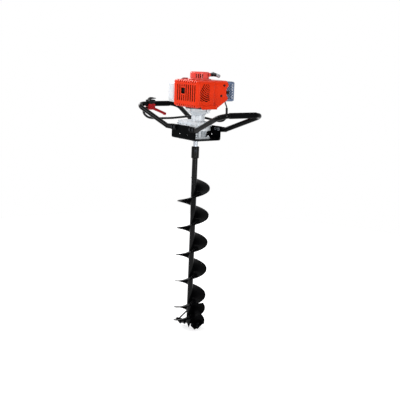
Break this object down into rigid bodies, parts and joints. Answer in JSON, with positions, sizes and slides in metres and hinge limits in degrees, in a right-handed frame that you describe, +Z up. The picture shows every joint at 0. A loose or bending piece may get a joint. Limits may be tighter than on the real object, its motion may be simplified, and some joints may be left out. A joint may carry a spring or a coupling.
{
  "type": "earth auger",
  "caption": "Hand-held petrol earth auger: a shrouded engine over a cast gearbox in a steel frame with loop handles, turning a screw bit with bolted cutter blades.",
  "frame": {"origin": "the point of the bit, where it meets the ground, on the axis of the drill", "axes": "+Z up along the drill's axis towards the engine, +X towards the handle without the throttle, +Y towards the muffler and the starter handle's pull"},
  "size_m": [0.6943, 0.2687, 1.2246],
  "materials": {
    "frame_paint": "semi-gloss black powder coat",
    "handle_paint": "gloss black paint",
    "grip_rubber": "matt black sleeve",
    "bit_paint": "semi-gloss black paint",
    "zinc_steel": "zinc plated",
    "bright_steel": "ground",
    "cast_aluminium": "bead blasted casting",
    "orange_plastic": "moulded orange",
    "red_plastic": "moulded red",
    "cap_plastic": "moulded dark red",
    "tank_plastic": "milky white",
    "black_plastic": "moulded black",
    "grey_plastic": "moulded grey",
    "guard_steel": "plain sheet",
    "plug_ceramic": "glazed white",
    "soft_rubber": "moulded black rubber",
    "filter_foam": "black foam",
    "rope_nylon": "braided white rope"
  },
  "bodies": {
    "machine": {"frame_bracket": "frame_paint", "left_handle": "handle_paint", "right_handle": "handle_paint", "left_grip": "grip_rubber", "right_grip": "grip_rubber", "handle_bolts": "zinc_steel", "handle_nuts": "zinc_steel", "gearbox_bolts": "zinc_steel", "gearbox_lower_case": "cast_aluminium", "gearbox_upper_case": "cast_aluminium", "case_screws": "zinc_steel", "gearbox_bearings": "bright_steel", "oil_seal": "soft_rubber", "clutch_housing": "cast_aluminium", "crankcase": "cast_aluminium", "cylinder": "cast_aluminium", "engine_cover": "orange_plastic", "air_cleaner_cover": "orange_plastic", "cover_screws": "zinc_steel", "air_box": "black_plastic", "air_filter": "filter_foam", "carburettor": "cast_aluminium", "muffler": "guard_steel", "muffler_guard": "guard_steel", "spark_plug": "plug_ceramic", "plug_cap": "soft_rubber", "ignition_coil": "black_plastic", "fuel_tank": "tank_plastic", "recoil_housing": "orange_plastic", "rope_guide": "black_plastic", "starter_rope": "rope_nylon", "throttle_body": "red_plastic", "throttle_clamp": "black_plastic", "throttle_screws": "zinc_steel", "throttle_cable": "soft_rubber", "cable_ferrule": "soft_rubber"},
    "bit": {"output_shaft": "bright_steel", "output_gear": "bright_steel", "auger_sleeve": "bit_paint", "auger_tube": "bit_paint", "auger_flight": "bit_paint", "second_flight": "bit_paint", "blade_holders": "bit_paint", "cutter_blades": "bit_paint", "cutter_bolts": "zinc_steel", "centre_point": "bit_paint", "brace_rod": "bit_paint", "sleeve_bolt": "zinc_steel"},
    "layshaft_body": {"layshaft": "bright_steel"},
    "drum_body": {"clutch_drum": "bright_steel"},
    "crank_body": {"crankshaft": "bright_steel", "flywheel": "cast_aluminium", "clutch_shoes": "bright_steel"},
    "pulley_body": {"starter_pulley": "black_plastic"},
    "pull_body": {"starter_handle": "grey_plastic"},
    "lever_body": {"throttle_lever": "red_plastic"},
    "lock_body": {"lock_lever": "black_plastic"},
    "switch_body": {"stop_switch": "red_plastic"},
    "cap_body": {"fuel_cap": "cap_plastic"},
    "choke_body": {"choke_lever": "black_plastic"}
  },
  "joints": [
    {"name": "auger_spin", "type": "hinge", "parent": "machine", "child": "bit", "pos_m": [0, 0, 0.9], "axis": [0, 0, 1], "continuous": true},
    {"name": "layshaft_spin", "type": "hinge", "parent": "machine", "child": "layshaft_body", "pos_m": [-0.045, 0, 0.965], "axis": [0, 0, 1], "continuous": true},
    {"name": "drive_spin", "type": "hinge", "parent": "machine", "child": "drum_body", "pos_m": [0.012, 0, 1], "axis": [0, 0, 1], "continuous": true},
    {"name": "crank_spin", "type": "hinge", "parent": "machine", "child": "crank_body", "pos_m": [0.012, 0, 1.09], "axis": [0, 0, 1], "continuous": true},
    {"name": "starter_pull", "type": "slide", "parent": "machine", "child": "pull_body", "axis": [0, 1, 0], "range_m": [0, 0.6], "stiffness_N_per_m": 20, "springref_m": -0.2, "deforming": ["starter_rope"]},
    {"name": "pulley_spin", "type": "hinge", "parent": "machine", "child": "pulley_body", "pos_m": [0.012, 0, 1.212], "axis": [0, 0, 1], "range_deg": [0, 1015]},
    {"name": "throttle_squeeze", "type": "hinge", "parent": "machine", "child": "lever_body", "pos_m": [-0.33, -0.0305, 1.034], "axis": [1, 0, 0], "range_deg": [0, 18], "stiffness_Nm_per_rad": 1.2, "springref_deg": -11.46},
    {"name": "lock_press", "type": "hinge", "parent": "machine", "child": "lock_body", "pos_m": [-0.33, -0.0495, 1.071], "axis": [-1, 0, 0], "range_deg": [0, 8], "stiffness_Nm_per_rad": 0.8, "springref_deg": -5.73},
    {"name": "stop_slide", "type": "slide", "parent": "machine", "child": "switch_body", "axis": [0, 1, 0], "range_m": [0, 0.006]},
    {"name": "cap_turn", "type": "hinge", "parent": "machine", "child": "cap_body", "pos_m": [-0.097, -0.002, 1.18], "axis": [0, 0, 1], "range_deg": [0, 270]},
    {"name": "choke_turn", "type": "hinge", "parent": "machine", "child": "choke_body", "pos_m": [0.00439, -0.0775, 1.1385], "axis": [0, -1, 0], "range_deg": [0, 60]}
  ],
  "couplings": [
    {"joint": "layshaft_spin", "follows": "auger_spin", "ratio": -4},
    {"joint": "drive_spin", "follows": "auger_spin", "ratio": 21.333},
    {"joint": "pulley_spin", "follows": "starter_pull", "rad_per_m": 29.412}
  ]
}
